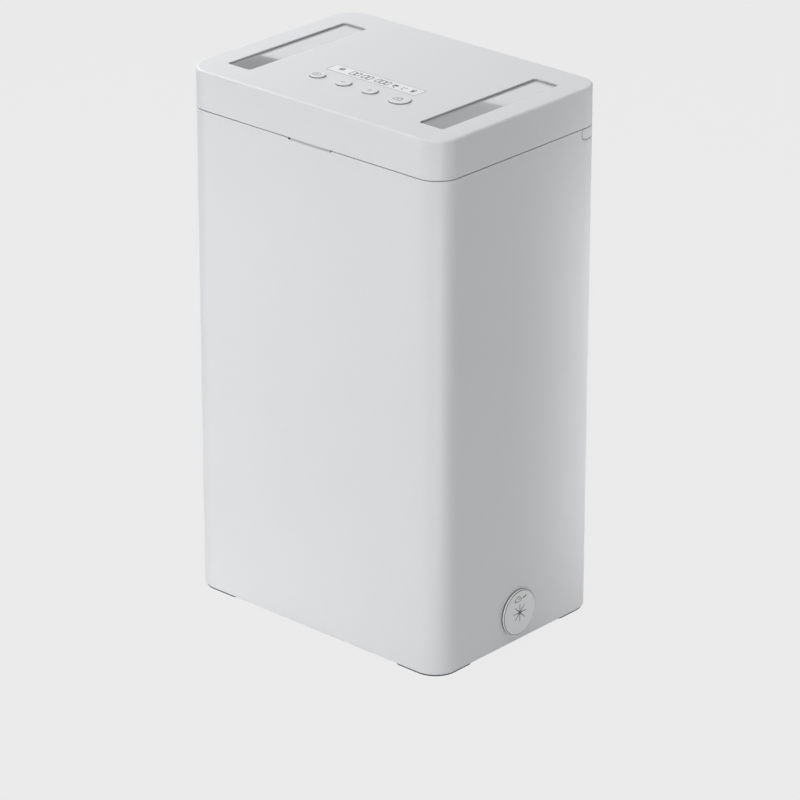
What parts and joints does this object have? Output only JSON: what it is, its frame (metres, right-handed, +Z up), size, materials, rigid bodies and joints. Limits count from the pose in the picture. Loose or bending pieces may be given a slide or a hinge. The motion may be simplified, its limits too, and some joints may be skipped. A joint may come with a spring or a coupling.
{
  "type": "timed lock container",
  "caption": "Tall off-white storage box with a flush hinged lid that holds a countdown display, push buttons, window panes and a motor-driven bolt",
  "frame": {"origin": "on the table, under the middle of the body", "axes": "+Z up, front with the buttons towards -Y, +X to the right seen from the front, cable grommet on +X"},
  "size_m": [0.212, 0.15, 0.353],
  "materials": {
    "body_plastic": "fine even mould texture, off-white",
    "lid_plastic": "fine even mould texture, off-white",
    "foot_rubber": "matt moulded rubber",
    "frame_plastic": "plain moulded, light grey",
    "striker_steel": "stamped and tumbled steel",
    "bracket_steel": "stamped, zinc plated",
    "screw_steel": "cold-headed, zinc plated",
    "pin_steel": "ground bar",
    "grommet_silicone": "soft moulded silicone, light grey",
    "bumper_rubber": "moulded rubber",
    "liner_plastic": "plain moulded, light grey",
    "door_plastic": "fine mould texture",
    "box_plastic": "plain moulded, black",
    "cell_jacket": "printed film jacket over steel",
    "contact_metal": "nickel plated spring steel",
    "window_acrylic": "polished grey acrylic",
    "tape_foam": "black adhesive film",
    "display_acrylic": "satin-coated acrylic over an LCD",
    "module_plastic": "LCD glass and bezel",
    "board_laminate": "solder mask over glass laminate",
    "switch_plastic": "moulded switch body",
    "mechanism_plastic": "natural acetal, black",
    "bolt_steel": "machined steel",
    "gear_brass": "hobbed brass",
    "motor_steel": "drawn can and cut gearbox plates",
    "button_plastic": "fine even mould texture, off-white"
  },
  "bodies": {
    "housing": {"body_shell": "body_plastic", "feet": "foot_rubber", "rim_frame": "frame_plastic", "striker": "striker_steel", "hinge_bracket_left": "bracket_steel", "hinge_bracket_right": "bracket_steel", "cable_grommet": "grommet_silicone", "lid_bumpers": "bumper_rubber", "rim_screws": "screw_steel", "striker_screws": "screw_steel", "hinge_bracket_screws": "screw_steel"},
    "lid": {"lid_cover": "lid_plastic", "hinge_band": "lid_plastic", "hinge_pin_left": "pin_steel", "hinge_pin_right": "pin_steel", "lid_liner": "liner_plastic", "battery_box": "box_plastic", "battery_cells": "cell_jacket", "battery_contacts": "contact_metal", "battery_door": "door_plastic", "window_left": "window_acrylic", "window_right": "window_acrylic", "window_tapes": "tape_foam", "display_window": "display_acrylic", "display_module": "module_plastic", "control_board": "board_laminate", "tact_switches": "switch_plastic", "lock_frame": "mechanism_plastic", "lock_motor": "motor_steel", "motor_strap": "striker_steel", "hinge_band_screws": "screw_steel", "liner_screws": "screw_steel", "board_screws": "screw_steel", "lock_screws": "screw_steel", "battery_door_screw": "screw_steel"},
    "bolt": {"lock_bolt": "bolt_steel"},
    "drive": {"lock_pinion": "gear_brass", "motor_shaft": "pin_steel"},
    "mode_button": {"mode_button": "button_plastic"},
    "minus_button": {"minus_button": "button_plastic"},
    "plus_button": {"plus_button": "button_plastic"},
    "start_button": {"start_button": "button_plastic"}
  },
  "joints": [
    {"name": "lid_hinge", "type": "hinge", "parent": "housing", "child": "lid", "pos_m": [0, 0.07, 0.3243], "axis": [-1, 0, 0], "range_deg": [0, 92]},
    {"name": "bolt_slide", "type": "slide", "parent": "lid", "child": "bolt", "axis": [1, 0, 0], "range_m": [0, 0.008]},
    {"name": "drive_turn", "type": "hinge", "parent": "lid", "child": "drive", "pos_m": [-0.052, -0.056, 0.34185], "axis": [0, -1, 0], "range_deg": [0, 84.9]},
    {"name": "mode_button_press", "type": "slide", "parent": "lid", "child": "mode_button", "axis": [0, 0, -1], "range_m": [0, 0.0008], "stiffness_N_per_m": 100, "springref_m": -0.002},
    {"name": "minus_button_press", "type": "slide", "parent": "lid", "child": "minus_button", "axis": [0, 0, -1], "range_m": [0, 0.0008], "stiffness_N_per_m": 100, "springref_m": -0.002},
    {"name": "plus_button_press", "type": "slide", "parent": "lid", "child": "plus_button", "axis": [0, 0, -1], "range_m": [0, 0.0008], "stiffness_N_per_m": 100, "springref_m": -0.002},
    {"name": "start_button_press", "type": "slide", "parent": "lid", "child": "start_button", "axis": [0, 0, -1], "range_m": [0, 0.0008], "stiffness_N_per_m": 100, "springref_m": -0.002}
  ],
  "couplings": [
    {"joint": "drive_turn", "follows": "bolt_slide", "rad_per_m": 185.19}
  ]
}
